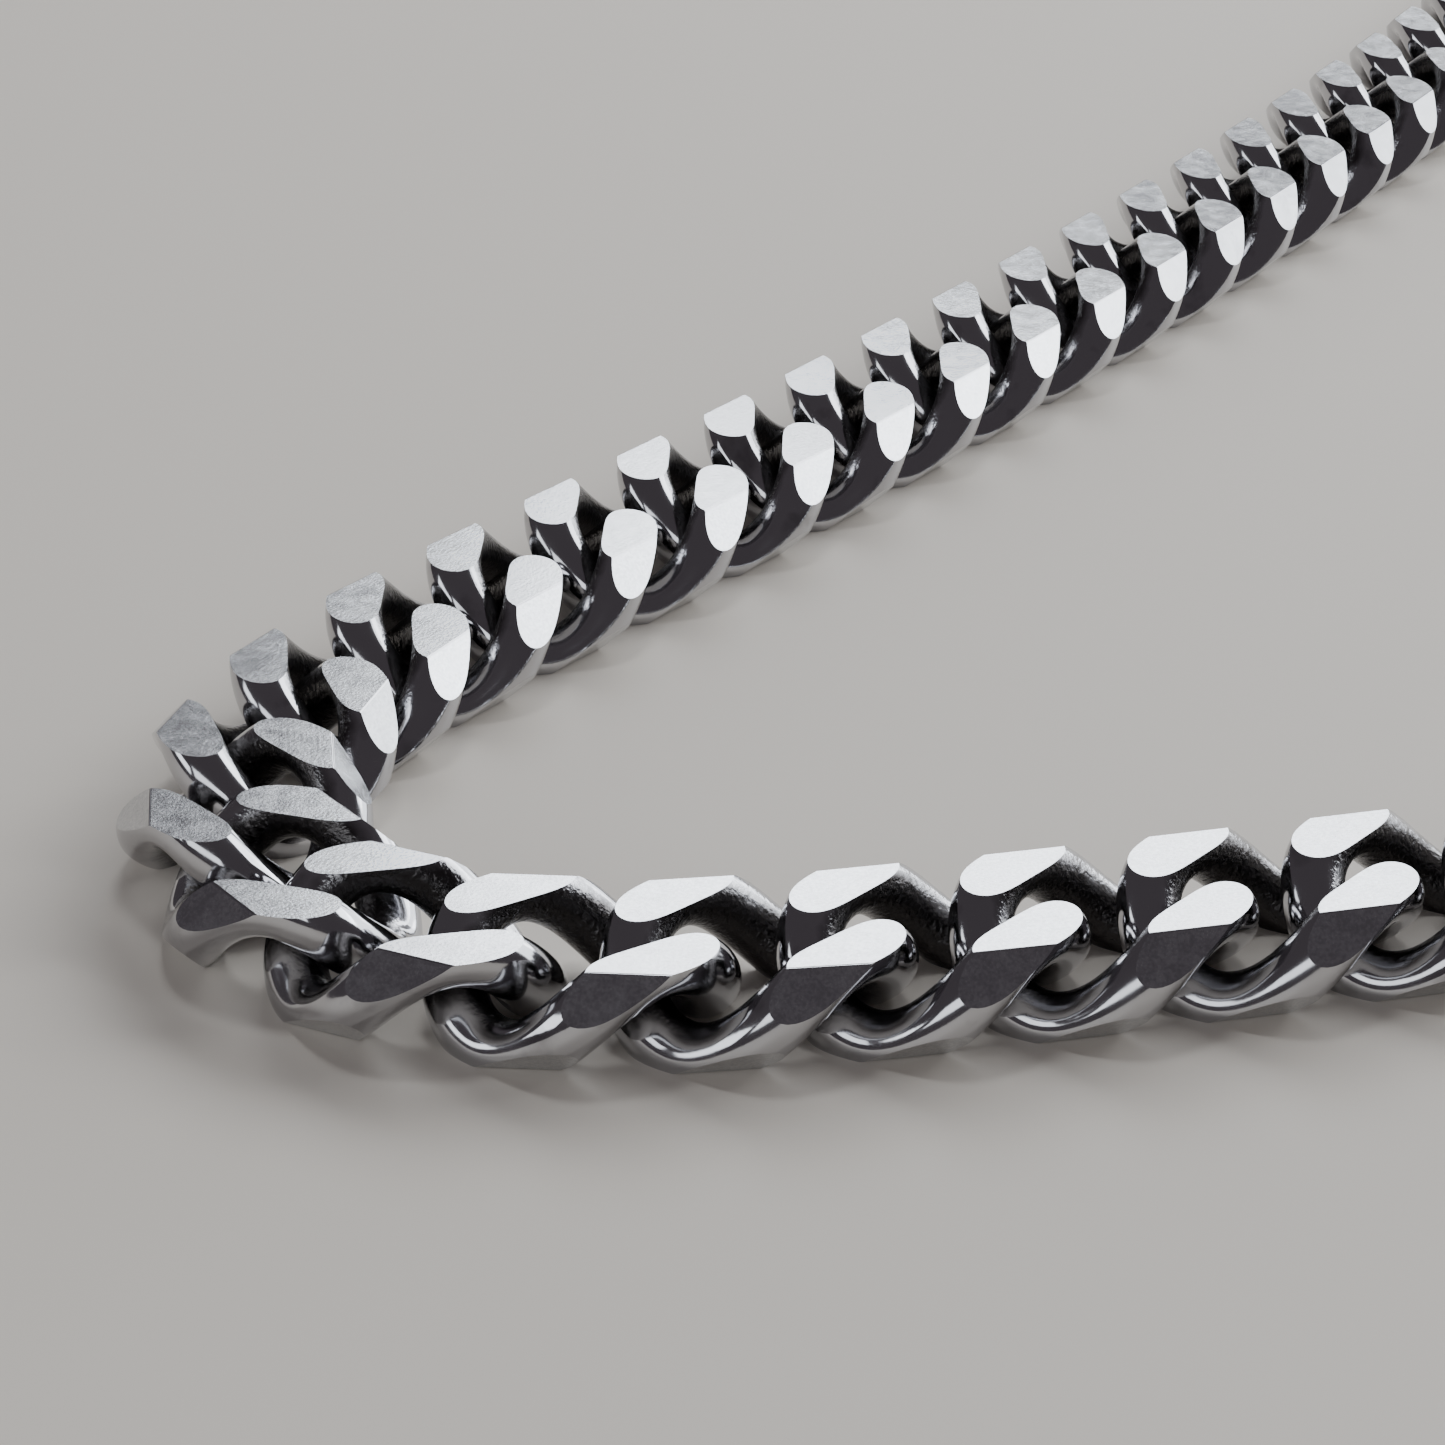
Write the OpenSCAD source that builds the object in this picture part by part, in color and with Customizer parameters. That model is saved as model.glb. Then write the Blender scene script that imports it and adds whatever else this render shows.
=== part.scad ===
// Curb chain necklace with a lobster clasp, lying flat and unfastened in a bend.
// Every link is a closed wire ring, twisted so that it hooks its neighbours at a
// steep angle, and the whole chain is then ground to a six-sided section.
// Origin: middle of one ground facet under the middle link. +Z up, millimetres.

/* [Chain] */
// distance from one link's centre to the next
pitch = 9; // [6:0.5:14]
// thickness of the wire before grinding, as a share of the pitch
wire_share = 0.37; // [0.3:0.01:0.44]
// half width of a link to the middle of its wire, as a share of the pitch
half_width_share = 0.58; // [0.45:0.01:0.7]
// play between two hooked links
play = 0.5; // [0.1:0.05:1]
// how far each end of a link is twisted from flat
end_twist = 43; // [30:1:50]
// how square the ring is: 2 is an ellipse
squareness = 2.3; // [2:0.05:3]

/* [Grinding] */
// thickness of the ground chain, as a share of the pitch
thickness_share = 0.63; // [0.4:0.01:0.8]
// width of the top between its two bevels, as a share of the pitch
top_share = 1.09; // [0.8:0.01:1.4]
// slope of the bevels from level
bevel_slope = 47; // [35:1:70]

/* [Layout] */
// links in the run that comes before the middle link
far_links = 26; // [4:1:40]
// links in the run that comes after it
near_links = 25; // [4:1:40]
// direction of the first run where it starts, travelling towards the middle link
far_heading = 247; // [180:1:270]
// sharpest angle between two neighbours, in the middle of the bend
sharpest_bend = 30.5; // [0:0.5:31]
// where the sharpest angle is, in links from the middle one
bend_centre = 0.37; // [-2:0.01:2]
// joints over which the bend builds up
bend_in = 1.95; // [0.5:0.05:4]
// joints over which the bend dies away
bend_out = 1.82; // [0.5:0.01:6]
// slight curve of the run before the bend, a joint
far_curve = -0.73; // [-2:0.01:2]
// slight curve of the run after the bend, a joint
near_curve = 0.27; // [-2:0.01:2]

/* [Clasp] */
// wire of the two end rings
ring_wire = 1.5; // [1:0.1:2.5]
// wire of the clasp's hook
hook_wire = 3.2; // [2:0.1:4.5]
// distance between the hook's two sides
hook_spread = 9; // [6:0.1:12]
// straight part of the hook
hook_straight = 10; // [6:0.5:16]

/* [Hidden] */
wire_r = pitch * wire_share / 2;
half_width = pitch * half_width_share;
half_length = pitch / 2 + wire_r + play / 2;
half_thickness = pitch * thickness_share / 2;
top_half_width = pitch * top_share / 2;
around_ring = 26;
around_wire = 8;
steel = [0.74, 0.75, 0.77];
dark_steel = [0.45, 0.46, 0.48];

// ---- the shape of one link ----

function signed_power(v, e) = sign(v) * pow(abs(v), e);

// middle of the wire at angle t: a rounded oval whose two ends are twisted opposite ways
function wire_middle(t) =
    let (
        x = half_length * signed_power(cos(t), 2 / squareness),
        y = half_width * signed_power(sin(t), 2 / squareness),
        twist = end_twist * sin(90 * x / half_length)
    )
    [x, y * cos(twist), -y * sin(twist)];

function unit(v) = v / norm(v);

// a point on the wire's surface at angle t along the ring and angle s around the wire
function wire_surface(t, s) =
    let (
        middle = wire_middle(t),
        along = unit(wire_middle(t + 1) - wire_middle(t - 1)),
        outwards = unit(middle - (middle * along) * along),
        across = cross(along, outwards)
    )
    middle + wire_r * (cos(s) * outwards + sin(s) * across);

module wire_ring() {
    points = [
        for (i = [0:around_ring - 1])
            for (j = [0:around_wire - 1])
                wire_surface((i + 0.5) * 360 / around_ring, j * 360 / around_wire)
    ];
    function at(i, j) = (i % around_ring) * around_wire + j % around_wire;
    faces = [
        for (i = [0:around_ring - 1])
            for (j = [0:around_wire - 1])
                each [
                    [at(i, j), at(i + 1, j), at(i + 1, j + 1)],
                    [at(i, j), at(i + 1, j + 1), at(i, j + 1)]
                ]
    ];
    polyhedron(points, faces);
}

// the six-sided bar that is left when the chain is ground on all sides
module ground_bar() {
    bar_length = 3 * half_length;
    edge_half_width = top_half_width + half_thickness / tan(bevel_slope);
    rotate([90, 0, 90])
        linear_extrude(bar_length, center = true)
            polygon([
                [edge_half_width, 0],
                [top_half_width, half_thickness],
                [-top_half_width, half_thickness],
                [-edge_half_width, 0],
                [-top_half_width, -half_thickness],
                [top_half_width, -half_thickness]
            ]);
}

module link() {
    intersection() {
        wire_ring();
        ground_bar();
    }
}

// ---- where each link lies ----

// angle between link i and the next one along: a bell-shaped bend between two gently curved runs
function bend_after(i) =
    let (
        from_centre = i - bend_centre,
        spread = from_centre < 0 ? bend_in : bend_out
    )
    sharpest_bend * exp(-pow(from_centre / spread, 2) / 2) + (i < 0 ? far_curve : near_curve);

function along(angle) = [cos(angle), sin(angle), 0];

// heading of every link, from the far end to the near end
headings = [
    for (i = -far_links, h = far_heading; i <= near_links; h = h + bend_after(i), i = i + 1) h
];
function heading(i) = headings[i + far_links];

// centre of every link, measured from the first one: each hooks the next half a pitch on
run = [
    for (
        i = -far_links, p = [0, 0, 0];
        i <= near_links;
        i = i + 1,
        p = i > near_links ? p : p + pitch / 2 * (along(heading(i - 1)) + along(heading(i)))
    ) p
];

// the origin is under the middle link, where one of its ground facets rests
facet_centre = [0.5 * pitch, 0.31 * pitch, -half_thickness];

module at_link(i) {
    rotate([0, 0, heading(0)]) translate(-facet_centre) rotate([0, 0, -heading(0)])
        translate(run[i + far_links] - run[far_links])
            rotate([0, 0, heading(i)])
                children();
}

// ---- the two end rings and the clasp ----

ring_r = ring_wire / 2;
hook_r = hook_wire / 2;
ring_gap = 0.25;
ring_end_r = wire_r + ring_r + 0.6;
eye_wire_r = 0.8;
eye_r = 4.5;
ring_slack = 1.5;
ring_straight = 2 * (wire_r + eye_wire_r + ring_r + ring_gap - ring_end_r) + ring_slack;
ring_tilt = 50;
// the ring stands on the table too, so its middle is a little above the chain's
ring_lift = ring_end_r * sin(ring_tilt) + ring_r - half_thickness + 0.03;
// and it leans aside, so that the link's wire still runs through its middle
ring_shift = -0.6 * ring_lift;
// distances outwards from the centre of the last link
ring_inner_x = half_length - wire_r - ring_gap - ring_r;
ring_outer_x = ring_inner_x + 2 * ring_end_r + ring_straight;
eye_x = ring_outer_x - ring_r - ring_gap - eye_wire_r + eye_r;

// oval ring of round wire, long way along X
module end_ring() {
    translate([(ring_inner_x + ring_outer_x) / 2, ring_shift, ring_lift])
        rotate([ring_tilt, 0, 0]) {
            for (side = [0, 180])
                rotate([0, 0, side]) {
                    translate([ring_straight / 2, 0, 0])
                        rotate([0, 0, -90])
                            rotate_extrude(angle = 180)
                                translate([ring_end_r, 0])
                                    circle(ring_r);
                    translate([0, ring_end_r, 0])
                        rotate([0, 90, 0])
                            cylinder(r = ring_r, h = ring_straight, center = true);
                }
        }
}

clasp_drop = 0.1;
side_y = hook_spread / 2;
base_x = eye_r + 2.9;
nose_x = base_x + hook_straight;
ear_r = 2.4;
ear_thick = 4.8;
slot_thick = 2;
gate_thick = 1.8;
gate_r = 1.35;
gate_boss_r = 1.95;
rivet_r = 0.65;
rivet_head_r = 1.15;
rivet_head = 0.3;
gate_neck = 3.3;
tip_gap = 0.25;
coil_r = 1;
coil_wire_r = 0.14;

module at_clasp() {
    translate([eye_x, ring_shift, ring_lift - clasp_drop]) children();
}

// room for the gate and its swing, between the two ears
module gate_slot() {
    translate([base_x, -side_y, 0]) {
        cylinder(r = gate_boss_r + 0.2, h = slot_thick, center = true);
        translate([0, -5, -slot_thick / 2]) cube([6, 8, slot_thick]);
        rotate([0, 0, 180]) translate([0, 0, -slot_thick / 2]) cube([6, 6, slot_thick]);
    }
}

module clasp_body() {
    at_clasp() difference() {
        union() {
            // eye that hangs in the ring
            rotate_extrude() translate([eye_r, 0]) circle(eye_wire_r);
            // base across the clasp, from the back of the hook to the ears
            translate([eye_r - 0.3, -side_y, -hook_r]) cube([base_x - eye_r + 1.2, hook_spread, hook_wire]);
            translate([base_x, -side_y, 0]) cylinder(r = ear_r, h = ear_thick, center = true);
            translate([base_x, side_y, 0]) cylinder(r = ear_r, h = hook_wire, center = true);
            // back of the hook, and its nose round to the gate
            translate([base_x, side_y, 0]) rotate([0, 90, 0]) cylinder(r = hook_r, h = hook_straight);
            translate([nose_x, 0, 0])
                rotate([0, 0, -90])
                    rotate_extrude(angle = 180)
                        translate([side_y, 0])
                            circle(hook_r);
        }
        gate_slot();
        translate([base_x, -side_y, 0]) cylinder(r = rivet_r + 0.03, h = 10, center = true);
    }
}

module clasp_gate() {
    at_clasp() translate([base_x, -side_y, 0]) difference() {
        union() {
            cylinder(r = gate_boss_r, h = gate_thick, center = true);
            translate([0, -gate_r, -gate_thick / 2]) cube([gate_neck + 0.5, 2 * gate_r, gate_thick]);
            translate([gate_neck, 0, 0])
                rotate([0, 90, 0])
                    cylinder(r = gate_r, h = hook_straight - gate_neck - tip_gap);
            // thumb tab
            rotate([0, 0, 228]) translate([0.5, 0, 0]) rotate([0, 90, 0]) cylinder(r = gate_thick / 2, h = 4);
            rotate([0, 0, 228]) translate([4.5, 0, 0]) sphere(r = gate_thick / 2 + 0.15);
        }
        cylinder(r = rivet_r + 0.07, h = 10, center = true);
        // pocket for the spring, open towards the base for its fixed leg
        cylinder(r = coil_r + 0.4, h = gate_thick);
        translate([-coil_r - 0.4, 0, 0]) cube([2 * coil_r + 0.8, 4, gate_thick]);
    }
}

module gate_rivet() {
    at_clasp() translate([base_x, -side_y, 0]) {
        cylinder(r = rivet_r, h = ear_thick + 0.1, center = true);
        for (side = [-1, 1])
            translate([0, 0, side * (ear_thick / 2 + 0.02 + rivet_head / 2)])
                cylinder(r = rivet_head_r, h = rivet_head, center = true);
    }
}

// torsion spring: three turns round the rivet, one leg against the base and one on the gate
module gate_spring() {
    fixed_leg = 1.1;
    at_clasp() translate([base_x, -side_y, 0.5]) {
        rotate_extrude()
            for (turn = [-1:1])
                translate([coil_r, 0.22 * turn]) circle(coil_wire_r);
        translate([0, coil_r, 0]) rotate([-90, 0, 0]) cylinder(r = coil_wire_r - 0.02, h = fixed_leg);
        translate([coil_r, 0, 0]) rotate([0, 90, 0]) cylinder(r = coil_wire_r - 0.02, h = 0.3);
    }
}

// ---- the assembly ----

$fn = 48;

color(steel) at_link(0) link();  // middle_link

for (i = [1:far_links])
    color(steel) at_link(-i) link();

for (i = [1:near_links])
    color(steel) at_link(i) link();

color(steel) at_link(near_links) end_ring();

color(steel) at_link(-far_links) rotate([0, 0, 180]) end_ring();  // clasp_ring

color(steel) at_link(-far_links) rotate([0, 0, 180]) clasp_body();

color(steel) at_link(-far_links) rotate([0, 0, 180]) clasp_gate();

color(dark_steel) at_link(-far_links) rotate([0, 0, 180]) gate_rivet();

color(dark_steel) at_link(-far_links) rotate([0, 0, 180]) gate_spring();
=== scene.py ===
"""Looks of the curb chain necklace: bright wire, satin ground facets, cast clasp, pale table."""

import math
import random

import bmesh
import bpy
import numpy as np
from mathutils import Matrix, Vector


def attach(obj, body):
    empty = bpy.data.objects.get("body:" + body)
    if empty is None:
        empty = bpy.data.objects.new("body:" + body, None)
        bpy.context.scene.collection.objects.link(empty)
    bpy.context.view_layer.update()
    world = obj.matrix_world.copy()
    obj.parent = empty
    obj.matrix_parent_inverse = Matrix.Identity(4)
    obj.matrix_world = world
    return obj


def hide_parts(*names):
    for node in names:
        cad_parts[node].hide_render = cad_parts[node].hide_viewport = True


MM = 0.001
SEED = 7

# the chain as the CAD has it, in mm
PITCH = 9.0
WIRE_R = PITCH * 0.37 / 2
PLAY = 0.5
HALF_LENGTH = PITCH / 2 + WIRE_R + PLAY / 2
HALF_WIDTH = PITCH * 0.58
HALF_THICK = PITCH * 0.63 / 2
TOP_HALF_WIDTH = PITCH * 1.09 / 2
BEVEL_SLOPE = math.radians(47)
END_TWIST = math.radians(43)
SQUARENESS = 2.3

# its layout, in degrees and links
FAR_LINKS, NEAR_LINKS = 26, 25
FAR_HEADING = 247.0
SHARPEST_BEND = 30.5
BEND_CENTRE = 0.37
BEND_IN, BEND_OUT = 1.95, 1.82
FAR_CURVE, NEAR_CURVE = -0.73, 0.27
FACET_CENTRE = Vector((0.5 * PITCH, 0.31 * PITCH, -HALF_THICK))

# fineness of the meshes, and how far a link's ground edges are rubbed down
RINGS_ALONG_WIRE = 150
SIDES_OF_WIRE = 44
SIDES_OF_END_RING = 40
SIDES_OF_RIVET = 48
SIDES_OF_SPRING = 14
EDGE_ROUNDING = 0.03

# the two end rings
RING_R = 0.75
RING_GAP = 0.25
RING_SLACK = 1.5
RING_END_R = WIRE_R + RING_R + 0.6
RING_TILT = math.radians(50)
OFF_TABLE = 0.03
RING_LIFT = RING_END_R * math.sin(RING_TILT) + RING_R - HALF_THICK + OFF_TABLE
RING_SHIFT = -0.6 * RING_LIFT
EYE_WIRE_R = 0.8
EYE_R = 4.5
RING_STRAIGHT = 2 * (WIRE_R + EYE_WIRE_R + RING_R + RING_GAP - RING_END_R) + RING_SLACK
RING_INNER_X = HALF_LENGTH - WIRE_R - RING_GAP - RING_R
RING_OUTER_X = RING_INNER_X + 2 * RING_END_R + RING_STRAIGHT

# the clasp's rivet and spring
EYE_X = RING_OUTER_X - RING_R - RING_GAP - EYE_WIRE_R + EYE_R
BASE_X = EYE_R + 2.9
SIDE_Y = 4.5
CLASP_DROP = 0.1
RIVET_PLACE = Vector((EYE_X + BASE_X, RING_SHIFT - SIDE_Y, RING_LIFT - CLASP_DROP))
RIVET_R = 0.65
RIVET_HEAD_R = 1.15
RIVET_HEAD = 0.3
RIVET_GAP = 0.02
RIVET_EDGE, RIVET_EDGE_HEIGHT = 0.05, 0.03
EAR_THICK = 4.8
COIL_R = 1.0
COIL_WIRE_R = 0.14
COIL_MIDDLE = 0.5
COIL_TURNS = 3
COIL_RISE = 0.21
LEG_START = COIL_R - 0.05
FIXED_LEG, GATE_LEG = 1.1, 0.3

# the table, in m
TABLE_HALF = 3.0
TABLE_COLOUR = (0.80, 0.74, 0.66, 1)
TABLE_ROUGHNESS = 0.6

# lamp: azimuth from +Y towards +X and elevation in degrees, distance, width and height in m, watts
LIGHTS = {
    "window": (38, 37, 1.6, 2.5, 0.56, 25),
    "side_window": (57, 16, 1.6, 1.3, 0.7, 10),
    "low_fill": (2, 16, 1.6, 2.1, 0.62, 1.3),
    "low_window": (26, 8, 1.6, 1.0, 0.3, 3.5),
    "softbox": (0, 76, 1.5, 0.36, 0.24, 3),
    "back_fill": (200, 24, 1.7, 1.6, 0.45, 5),
    "left_fill": (252, 17, 1.7, 1.0, 0.35, 3),
}
LIT_PLACE = Vector((0.05, 0.05, 0))
DAYLIGHT = (0.92, 0.96, 1.0)
ROOM = (1.0, 0.88, 0.98, 1)
ROOM_STRENGTH = 0.08

# the camera, its place measured from the middle of the middle link's top, in pitches
CAMERA_FROM_LINK = Vector((2.8506, -21.2556, 10.967))
CAMERA_DOWN = math.radians(26.47)
CAMERA_ROLL = math.radians(-0.27)
CAMERA_LENS = 100.2

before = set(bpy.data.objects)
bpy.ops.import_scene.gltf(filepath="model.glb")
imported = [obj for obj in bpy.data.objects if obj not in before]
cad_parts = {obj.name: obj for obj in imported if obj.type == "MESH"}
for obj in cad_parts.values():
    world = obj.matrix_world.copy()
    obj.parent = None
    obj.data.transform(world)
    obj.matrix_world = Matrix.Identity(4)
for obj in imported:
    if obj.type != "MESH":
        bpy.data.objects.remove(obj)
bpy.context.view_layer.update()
chance = random.Random(SEED)


# ---- where each link lies, as the CAD places them ----


def bend_after(i):
    """Angle between link i and the next one along: a bell-shaped bend between two gently curved runs."""
    spread = BEND_IN if i < BEND_CENTRE else BEND_OUT
    bell = SHARPEST_BEND * math.exp(-(((i - BEND_CENTRE) / spread) ** 2) / 2)
    return bell + (FAR_CURVE if i < 0 else NEAR_CURVE)


def direction(degrees):
    return Vector((math.cos(math.radians(degrees)), math.sin(math.radians(degrees)), 0))


def link_places():
    """{link number: matrix from a link's own frame to the chain's, in mm}; 0 is the middle link."""
    heading = {-FAR_LINKS: FAR_HEADING}
    centre = {-FAR_LINKS: Vector((0, 0, 0))}
    for i in range(-FAR_LINKS, NEAR_LINKS):
        heading[i + 1] = heading[i] + bend_after(i)
        centre[i + 1] = centre[i] + PITCH / 2 * (direction(heading[i]) + direction(heading[i + 1]))
    origin = centre[0] + Matrix.Rotation(math.radians(heading[0]), 3, "Z") @ FACET_CENTRE
    return {
        i: Matrix.Translation(centre[i] - origin) @ Matrix.Rotation(math.radians(turn), 4, "Z")
        for i, turn in heading.items()
    }


def link_name(i):
    if i == 0:
        return "middle_link"
    return f"near_link_{i}" if i > 0 else f"far_link_{-i}"


# ---- wire ----


def unit(v):
    return v / np.linalg.norm(v, axis=-1, keepdims=True)


def wire_axes(middle, closed=True):
    """Unit directions along, outwards from the origin and across, at each point of a wire's middle."""
    if closed:
        along = unit(np.roll(middle, -1, 0) - np.roll(middle, 1, 0))
    else:
        along = unit(np.gradient(middle, axis=0))
    outwards = unit(middle - (middle * along).sum(1, keepdims=True) * along)
    return along, outwards, np.cross(along, outwards)


def skin(bm, rows, closed=False):
    """Quads between neighbouring rings of vertices; a closed run also joins the last ring to the first."""
    for row, beyond in zip(rows, rows[1:] + rows[:1] if closed else rows[1:]):
        for j in range(len(row)):
            k = (j + 1) % len(row)
            bm.faces.new([row[j], beyond[j], beyond[k], row[k]])


def swept_wire(bm, middle, radius, sides, closed=True):
    """A tube of round wire about the points in middle; an open one is capped at both ends."""
    _, outwards, across = wire_axes(middle, closed)
    angles = np.arange(sides) * 2 * np.pi / sides
    rows = [
        [bm.verts.new(m + radius * (math.cos(a) * o + math.sin(a) * c)) for a in angles]
        for m, o, c in zip(middle, outwards, across)
    ]
    skin(bm, rows, closed)
    if not closed:
        bm.faces.new(rows[0])
        bm.faces.new(rows[-1])


# ---- the mesh of one link ----


def wire_middle(t):
    """Middle of a link's wire at angles t: a rounded oval whose two ends are twisted opposite ways."""
    power = 2 / SQUARENESS
    x = HALF_LENGTH * np.sign(np.cos(t)) * np.abs(np.cos(t)) ** power
    y = HALF_WIDTH * np.sign(np.sin(t)) * np.abs(np.sin(t)) ** power
    twist = END_TWIST * np.sin(np.pi / 2 * x / HALF_LENGTH)
    return np.stack([x, y * np.cos(twist), -y * np.sin(twist)], axis=-1)


def evenly_spaced(count):
    """Angles at which the wire's middle is evenly spaced along its own length."""
    fine = np.linspace(0, 2 * np.pi, 8001)
    steps = np.linalg.norm(np.diff(wire_middle(fine), axis=0), axis=1)
    run = np.concatenate([[0], np.cumsum(steps)])
    return np.interp(np.arange(count) * run[-1] / count, run, fine)


def leaning(slope, side, top):
    """Unit direction that leans to one side by slope, from straight up or straight down."""
    return Vector((0, side * math.sin(slope), top * math.cos(slope)))


def grinding_planes():
    """(a point, the outward normal) of each ground face and of the rubbed-down edges between them."""
    planes = []
    for top in (1, -1):
        planes.append((Vector((0, 0, top * HALF_THICK)), Vector((0, 0, top))))
        for side in (1, -1):
            corner = Vector((0, side * TOP_HALF_WIDTH, top * HALF_THICK))
            between = leaning(BEVEL_SLOPE / 2, side, top)
            planes.append((corner, leaning(BEVEL_SLOPE, side, top)))
            planes.append((corner - EDGE_ROUNDING * between, between))
    return planes


def is_flat(normal):
    """True for a ground face, false for the rubbed-down edge between two of them."""
    slope = math.acos(abs(normal.z))
    return min(slope, abs(slope - BEVEL_SLOPE)) < 1e-3


def link_mesh():
    """A twisted wire ring cut by the grinding planes, in mm: material 0 is wire, 1 is a ground face."""
    bm = bmesh.new()
    swept_wire(bm, wire_middle(evenly_spaced(RINGS_ALONG_WIRE)), WIRE_R, SIDES_OF_WIRE)
    ground = bm.faces.layers.int.new("ground")
    for number, (point, normal) in enumerate(grinding_planes(), 1):
        cut = bmesh.ops.bisect_plane(
            bm,
            geom=bm.verts[:] + bm.edges[:] + bm.faces[:],
            dist=1e-6,
            plane_co=point,
            plane_no=normal,
            clear_outer=True,
        )
        edges = [e for e in cut["geom_cut"] if isinstance(e, bmesh.types.BMEdge) and e.is_boundary]
        for face in bmesh.ops.edgeloop_fill(bm, edges=edges)["faces"]:
            face[ground] = number
    bmesh.ops.recalc_face_normals(bm, faces=bm.faces[:])
    bm.verts.index_update()
    mesh = bpy.data.meshes.new("link")
    write_with_normals(bm, ground, mesh)
    bm.free()
    return mesh


def write_with_normals(bm, ground, mesh):
    """Writes bm to mesh with exact normals, and how far each vertex faces into the ring as "inside"."""
    planes = grinding_planes()
    flats = [number for number, (_, normal) in enumerate(planes, 1) if is_flat(normal)]
    fine = wire_middle(np.linspace(0, 2 * np.pi, 3000, endpoint=False))
    along, outwards, _ = wire_axes(fine)
    points = np.array([v.co[:] for v in bm.verts])
    nearest = np.array([np.argmin(((fine - p) ** 2).sum(1)) for p in points])
    offset = points - fine[nearest]
    along_part = (offset * along[nearest]).sum(1, keepdims=True) * along[nearest]
    round_normal = unit(offset - along_part)
    normals = []
    for face in bm.faces:
        number = face[ground]
        for vert in face.verts:
            if number == 0:
                normals.append(tuple(round_normal[vert.index]))
                continue
            # an edge's face takes the normals of the flats on its two sides, so it shades as rounded
            beside = [f[ground] for f in vert.link_faces if f[ground] in flats]
            owner = number if number in flats or not beside else beside[0]
            normals.append(tuple(planes[owner - 1][1]))
        face.material_index = 1 if number in flats else 0
        face.smooth = True
    bm.to_mesh(mesh)
    mesh.normals_split_custom_set(normals)
    # inside also masks the painted shade that darkens the polished wire's colour inside the ring
    inside = mesh.attributes.new("inside", "FLOAT", "POINT")
    inside.data.foreach_set("value", np.clip(-(round_normal * outwards[nearest]).sum(1), 0, 1))


# ---- materials: a noise scale of 1000 gives marks of about a millimetre ----


def new_material(name):
    """An empty node material with one Principled shader."""
    material = bpy.data.materials.new(name)
    material.use_nodes = True
    tree = material.node_tree
    tree.nodes.clear()
    output = tree.nodes.new("ShaderNodeOutputMaterial")
    shader = tree.nodes.new("ShaderNodeBsdfPrincipled")
    tree.links.new(shader.outputs["BSDF"], output.inputs["Surface"])
    return material, tree, shader


def node(tree, kind, **values):
    """A node with its settings and input sockets set; a value that is a socket is linked."""
    made = tree.nodes.new("ShaderNode" + kind)
    for name, value in values.items():
        if hasattr(made, name) and name not in made.inputs:
            setattr(made, name, value)
        elif isinstance(value, bpy.types.NodeSocket):
            tree.links.new(value, made.inputs[name])
        else:
            made.inputs[name].default_value = value
    return made


def own_place(tree):
    """The piece's own coordinates, shifted by its own seed so that no two links wear the same marks."""
    place = node(tree, "TexCoord").outputs["Object"]
    seed = node(tree, "Attribute", attribute_type="OBJECT", attribute_name="wear").outputs["Vector"]
    shift = node(tree, "VectorMath", operation="ADD")
    tree.links.new(place, shift.inputs[0])
    tree.links.new(seed, shift.inputs[1])
    return shift.outputs[0]


def ramp(tree, value, low, high, out_low, out_high):
    """The value stretched from the range low to high on to another range."""
    made = node(tree, "MapRange", Value=value)
    ends = {"From Min": low, "From Max": high, "To Min": out_low, "To Max": out_high}
    for name, number in ends.items():
        made.inputs[name].default_value = number
    return made.outputs["Result"]


def noise(tree, place, scale, detail, stretch=None):
    if stretch:
        scaled = node(tree, "VectorMath", operation="MULTIPLY")
        tree.links.new(place, scaled.inputs[0])
        scaled.inputs[1].default_value = stretch
        place = scaled.outputs[0]
    return node(tree, "TexNoise", Vector=place, Scale=scale, Detail=detail).outputs["Fac"]


def maths(tree, operation, a, b):
    """A Math node on the socket a and on b, which is a socket or a number."""
    made = node(tree, "Math", operation=operation)
    tree.links.new(a, made.inputs[0])
    if isinstance(b, bpy.types.NodeSocket):
        tree.links.new(b, made.inputs[1])
    else:
        made.inputs[1].default_value = b
    return made.outputs[0]


def add(tree, a, b):
    return maths(tree, "ADD", a, b)


def times(tree, a, b):
    return maths(tree, "MULTIPLY", a, b)


def tint(tree, shader, amount, dark, light, between=(0.35, 0.65)):
    """Colours the shader from dark to light as amount goes between two values."""
    tone = node(tree, "ValToRGB", Fac=amount)
    for end, place, colour in zip(tone.color_ramp.elements, between, (dark, light)):
        end.position = place
        end.color = (*colour, 1)
    tree.links.new(tone.outputs["Color"], shader.inputs["Base Color"])


def surface(tree, shader, roughness, height, strength, depth):
    """Bare metal with this roughness, and a bump that many metres deep."""
    shader.inputs["Metallic"].default_value = 1.0
    tree.links.new(roughness, shader.inputs["Roughness"])
    bumps = node(tree, "Bump", Height=height, Strength=strength, Distance=depth)
    tree.links.new(bumps.outputs["Normal"], shader.inputs["Normal"])


def polished_steel():
    """Bright wire: almost a mirror outside; inside the ring rougher and pitted where no polish reaches,
    with painted shade that darkens its colour there.
    """
    material, tree, shader = new_material("polished_steel")
    place = own_place(tree)
    patches = noise(tree, place, 350, 4)
    inside = node(tree, "Attribute", attribute_name="inside").outputs["Fac"]
    # painted shade: the colour darkens to near black where the wire faces into the ring, on top of random
    # patches of tone
    patches_and_inside_shade = maths(tree, "SUBTRACT", patches, times(tree, inside, 0.8))
    tint(tree, shader, patches_and_inside_shade, (0.09, 0.085, 0.085), (0.52, 0.52, 0.54), (0.0, 0.42))
    rough = add(tree, ramp(tree, patches, 0.35, 0.7, 0.07, 0.15), times(tree, inside, 0.2))
    peel = times(tree, noise(tree, place, 1500, 2), 0.18)
    pits = times(tree, times(tree, noise(tree, place, 3400, 3), 7.0), inside)
    surface(tree, shader, rough, add(tree, peel, pits), 0.5, 0.00004)
    return material


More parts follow.
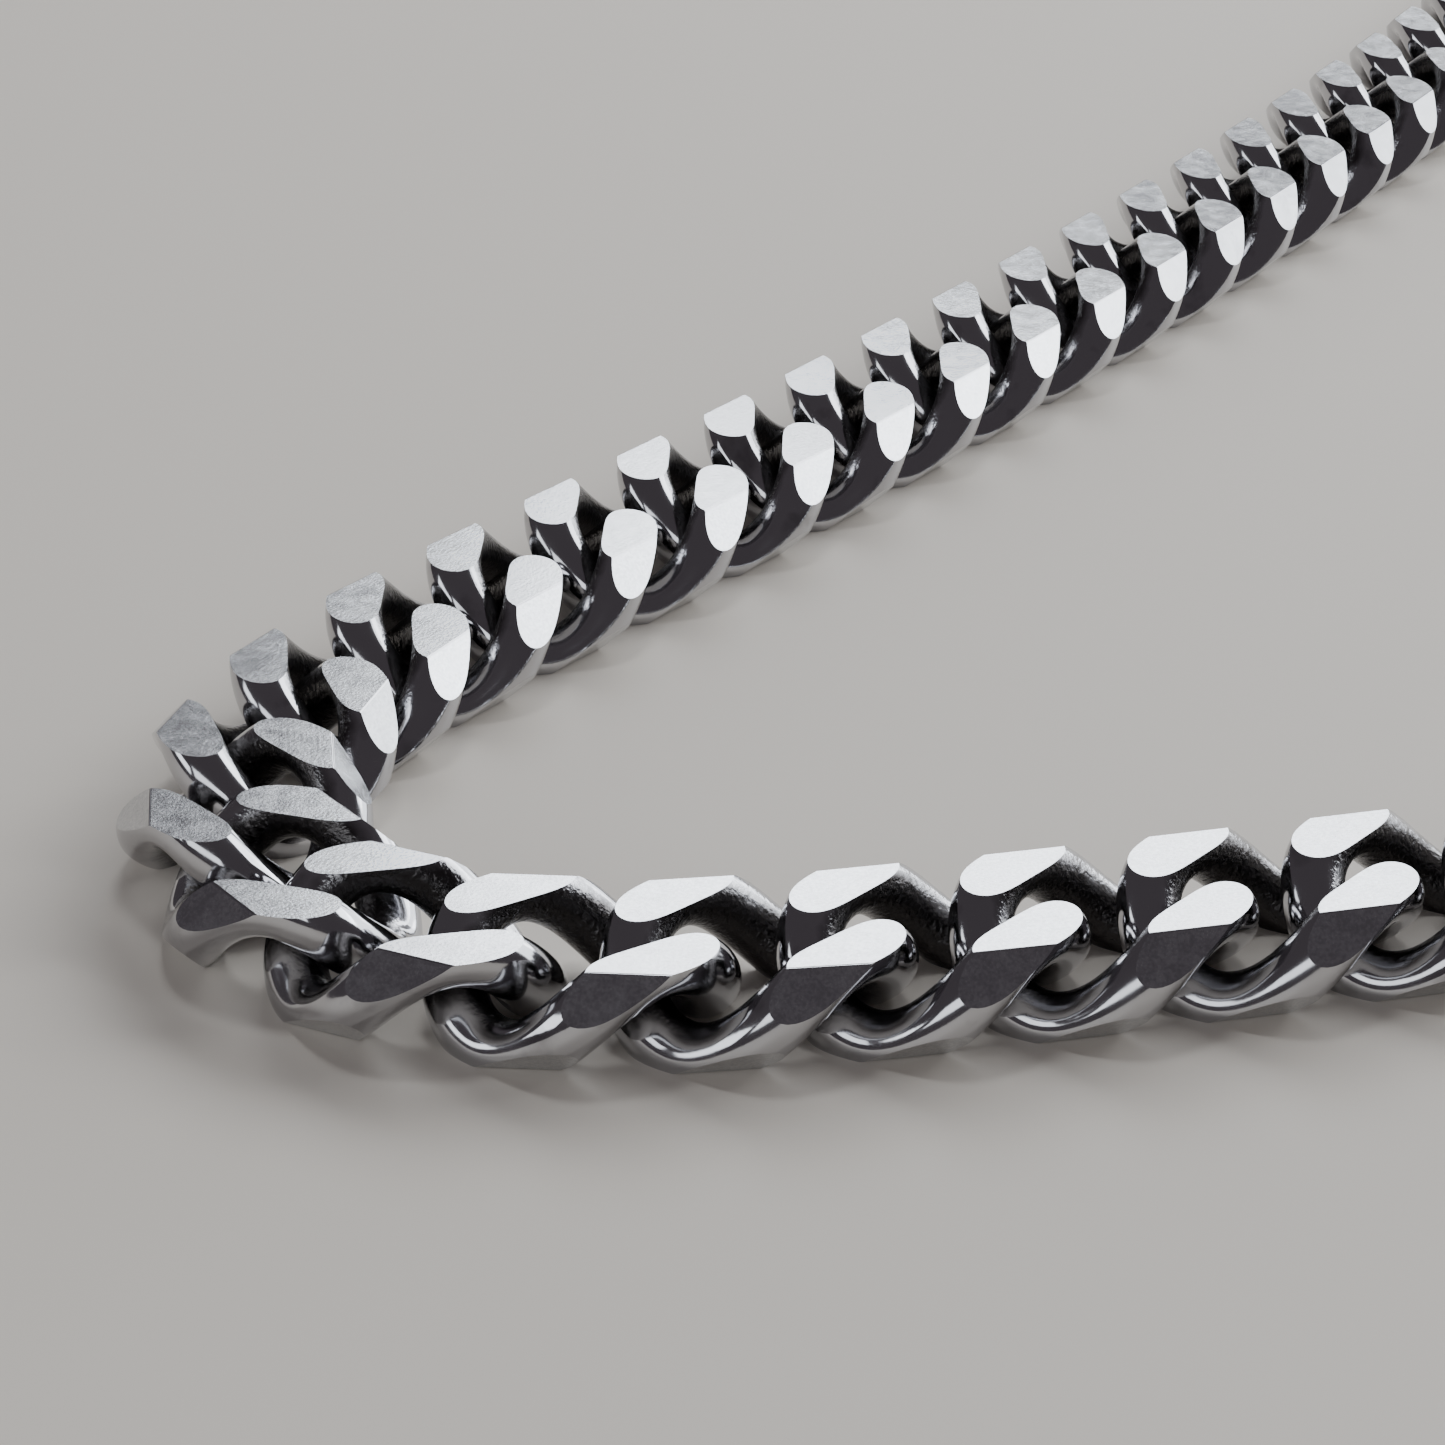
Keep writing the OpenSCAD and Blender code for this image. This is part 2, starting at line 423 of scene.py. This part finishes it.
def ground_steel():
    """Ground face: a satin mirror with fine grain, cloudy haze and faint grinding lines."""
    material, tree, shader = new_material("ground_steel")
    place = own_place(tree)
    clouds = noise(tree, place, 900, 4)
    lines = noise(tree, place, 1500, 4, (0.15, 3.0, 3.0))
    specks = noise(tree, place, 5500, 3)
    grain = add(tree, times(tree, clouds, 0.3), times(tree, specks, 0.7))
    tint(tree, shader, grain, (0.54, 0.55, 0.57), (0.68, 0.69, 0.71), (0.4, 0.6))
    rough = ramp(tree, clouds, 0.3, 0.7, 0.15, 0.23)
    surface(tree, shader, rough, add(tree, times(tree, lines, 0.4), specks), 0.18, 0.00003)
    return material


def cast_steel():
    """Tumbled casting: polished, but with the soft waves and the odd pit of a cast surface."""
    material, tree, shader = new_material("cast_steel")
    place = own_place(tree)
    waves = noise(tree, place, 260, 3)
    tint(tree, shader, waves, (0.58, 0.58, 0.60), (0.68, 0.68, 0.70))
    rough = ramp(tree, waves, 0.3, 0.7, 0.10, 0.22)
    pits = ramp(tree, noise(tree, place, 2400, 4), 0.2, 0.36, 0.0, 0.5)
    surface(tree, shader, rough, add(tree, times(tree, waves, 2.0), pits), 0.2, 0.00004)
    return material


def drawn_steel():
    """Grey drawn wire and turned rivets: darker and less bright than the polished parts."""
    material, tree, shader = new_material("drawn_steel")
    streaks = noise(tree, own_place(tree), 2500, 4)
    tint(tree, shader, streaks, (0.30, 0.30, 0.32), (0.48, 0.48, 0.50))
    surface(tree, shader, ramp(tree, streaks, 0.3, 0.7, 0.24, 0.42), streaks, 0.3, 0.00002)
    return material


# ---- pieces ----


def dress(mesh, cad_node, body, place=None):
    """Puts a finished mesh in the scene in place of the CAD node, riding on its body."""
    made = bpy.data.objects.new(cad_node + "_look", mesh)
    bpy.context.scene.collection.objects.link(made)
    made["wear"] = [chance.uniform(0, 1) for _ in range(3)]
    if place is not None:
        made.matrix_world = place
    bpy.context.view_layer.update()
    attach(made, body)
    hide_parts(cad_node)


def in_metres(place):
    moved = place.copy()
    moved.translation *= MM
    return moved


def finish_mesh(bm, name, material):
    """The bmesh in mm as a smooth-shaded mesh in metres."""
    bmesh.ops.recalc_face_normals(bm, faces=bm.faces[:])
    mesh = bpy.data.meshes.new(name)
    bm.to_mesh(mesh)
    bm.free()
    mesh.transform(Matrix.Scale(MM, 4))
    mesh.shade_smooth()
    mesh.materials.append(material)
    return mesh


def add_links(places, wire):
    mesh = link_mesh()
    mesh.transform(Matrix.Scale(MM, 4))
    mesh.materials.append(wire)
    mesh.materials.append(ground_steel())
    for i, place in places.items():
        dress(mesh, link_name(i), link_name(i), in_metres(place))


def ring_middle(count=72):
    """Middle of an end ring's wire: two half circles joined by two short straights, leaning aside."""
    half = np.linspace(-np.pi / 2, np.pi / 2, count // 2)
    right = np.stack([RING_STRAIGHT / 2 + RING_END_R * np.cos(half), RING_END_R * np.sin(half)], axis=-1)
    x, y = np.concatenate([right, -right]).T
    return np.stack([x, y * math.cos(RING_TILT), y * math.sin(RING_TILT)], axis=-1)


def add_rings(ends, wire):
    bm = bmesh.new()
    swept_wire(bm, ring_middle(), RING_R, SIDES_OF_END_RING)
    mesh = finish_mesh(bm, "ring", wire)
    offset = Matrix.Translation(Vector(((RING_INNER_X + RING_OUTER_X) / 2, RING_SHIFT, RING_LIFT)))
    for name, place in ends.items():
        dress(mesh, name, name, in_metres(place @ offset))


def softened_copy(cad_node, cell, passes, material):
    """The CAD part's shape with every edge worn round, as on a tumbled casting."""
    source = bpy.data.objects.new("source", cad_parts[cad_node].data.copy())
    bpy.context.scene.collection.objects.link(source)
    remesh = source.modifiers.new("remesh", "REMESH")
    remesh.mode = "VOXEL"
    remesh.voxel_size = cell
    smooth = source.modifiers.new("smooth", "SMOOTH")
    smooth.factor = 0.5
    smooth.iterations = passes
    view = bpy.context.evaluated_depsgraph_get()
    mesh = bpy.data.meshes.new_from_object(source.evaluated_get(view))
    bpy.data.objects.remove(source)
    mesh.name = cad_node + "_look"
    mesh.shade_smooth()
    mesh.materials.clear()
    mesh.materials.append(material)
    return mesh


def rivet_bmesh():
    """A turned pin with a low domed head peened over at each end."""
    under = EAR_THICK / 2 + RIVET_GAP
    rim = under + 2 * RIVET_EDGE_HEIGHT
    top = under + RIVET_HEAD
    dome = [
        (RIVET_HEAD_R * math.cos(a), rim + (top - rim) * math.sin(a))
        for a in np.linspace(0, math.pi / 2, 9)[:-1]
    ]
    head = [(RIVET_HEAD_R - RIVET_EDGE, under), (RIVET_HEAD_R, under + RIVET_EDGE_HEIGHT), *dome]
    half = [(RIVET_R, under), *head]
    profile = [(r, -z) for r, z in reversed(half)] + [(RIVET_R, 0.0)] + half
    angles = np.arange(SIDES_OF_RIVET) * 2 * np.pi / SIDES_OF_RIVET
    bm = bmesh.new()
    rows = [[bm.verts.new((r * math.cos(a), r * math.sin(a), z)) for a in angles] for r, z in profile]
    skin(bm, rows)
    for row, z in ((rows[0], -top), (rows[-1], top)):
        tip = bm.verts.new((0, 0, z))
        for k, vert in enumerate(row):
            bm.faces.new([vert, row[(k + 1) % len(row)], tip])
    return bm


def spring_bmesh():
    """Torsion spring: three close turns round the rivet, one leg to the base and one to the gate."""
    turns = np.linspace(0, COIL_TURNS, 160)
    angle = turns * 2 * np.pi
    rise = COIL_MIDDLE + COIL_RISE * (turns - COIL_TURNS / 2)
    coil = np.stack([COIL_R * np.cos(angle), COIL_R * np.sin(angle), rise], axis=-1)
    fixed_leg = np.array([[0, LEG_START + step, COIL_MIDDLE] for step in np.linspace(0, FIXED_LEG, 12)])
    gate_leg = np.array([[LEG_START + step, 0, COIL_MIDDLE] for step in np.linspace(0, GATE_LEG, 6)])
    bm = bmesh.new()
    for middle in (coil, fixed_leg, gate_leg):
        swept_wire(bm, middle, COIL_WIRE_R, SIDES_OF_SPRING, closed=False)
    return bm


def add_clasp(end):
    casting, drawn = cast_steel(), drawn_steel()
    body = softened_copy("clasp_body", 0.11 * MM, 6, casting)
    dress(body, "clasp_body", "clasp")
    gate = softened_copy("clasp_gate", 0.08 * MM, 4, casting)
    dress(gate, "clasp_gate", "gate")
    place = in_metres(end @ Matrix.Translation(RIVET_PLACE))
    rivet = finish_mesh(rivet_bmesh(), "rivet", drawn)
    dress(rivet, "gate_rivet", "clasp", place)
    spring = finish_mesh(spring_bmesh(), "spring", drawn)
    dress(spring, "gate_spring", "clasp", place)


# ---- table, light and camera ----


def add_table():
    corners = [(-1, -1), (1, -1), (1, 1), (-1, 1)]
    bm = bmesh.new()
    bm.faces.new([bm.verts.new((x * TABLE_HALF, y * TABLE_HALF, 0)) for x, y in corners])
    mesh = bpy.data.meshes.new("table")
    bm.to_mesh(mesh)
    bm.free()
    material, _, shader = new_material("table")
    shader.inputs["Base Color"].default_value = TABLE_COLOUR
    shader.inputs["Roughness"].default_value = TABLE_ROUGHNESS
    mesh.materials.append(material)
    table = bpy.data.objects.new("table", mesh)
    bpy.context.scene.collection.objects.link(table)


def add_lamp(name, azimuth, elevation, distance, width, height, watts):
    """A soft rectangular lamp that faces the chain."""
    a, e = math.radians(azimuth), math.radians(elevation)
    towards = Vector((math.sin(a) * math.cos(e), math.cos(a) * math.cos(e), math.sin(e)))
    lamp = bpy.data.lights.new(name, "AREA")
    lamp.shape = "RECTANGLE"
    lamp.size, lamp.size_y = width, height
    lamp.energy = watts
    lamp.color = DAYLIGHT
    made = bpy.data.objects.new(name, lamp)
    made.location = LIT_PLACE + towards * distance
    made.rotation_mode = "QUATERNION"
    made.rotation_quaternion = towards.to_track_quat("Z", "Y")
    bpy.context.scene.collection.objects.link(made)


def add_light():
    world = bpy.data.worlds.new("studio")
    world.use_nodes = True
    background = world.node_tree.nodes["Background"]
    background.inputs["Color"].default_value = ROOM
    background.inputs["Strength"].default_value = ROOM_STRENGTH
    bpy.context.scene.world = world
    for name, settings in LIGHTS.items():
        add_lamp(name, *settings)


def add_camera(middle):
    """Low over the near run, looking along +Y and down, as the photograph was taken."""
    forward = Vector((0, math.cos(CAMERA_DOWN), -math.sin(CAMERA_DOWN)))
    up = Vector((0, math.sin(CAMERA_DOWN), math.cos(CAMERA_DOWN)))
    right = Vector((1, 0, 0))
    rolled_right = math.cos(CAMERA_ROLL) * right - math.sin(CAMERA_ROLL) * up
    rolled_up = math.sin(CAMERA_ROLL) * right + math.cos(CAMERA_ROLL) * up
    turn = Matrix((rolled_right, rolled_up, -forward)).transposed().to_4x4()
    spot = middle + (CAMERA_FROM_LINK * PITCH + Vector((0, 0, HALF_THICK))) * MM
    data = bpy.data.cameras.new("camera")
    data.sensor_width = 36
    data.lens = CAMERA_LENS
    data.clip_start, data.clip_end = 0.01, 20
    camera = bpy.data.objects.new("camera", data)
    camera.matrix_world = Matrix.Translation(spot) @ turn
    bpy.context.scene.collection.objects.link(camera)
    bpy.context.scene.camera = camera


places = link_places()
clasp_end = places[-FAR_LINKS] @ Matrix.Rotation(math.pi, 4, "Z")
bright_wire = polished_steel()
add_links(places, bright_wire)
add_rings({"end_ring": places[NEAR_LINKS], "clasp_ring": clasp_end}, bright_wire)
add_clasp(clasp_end)
add_table()
add_light()
add_camera(places[0].translation * MM)
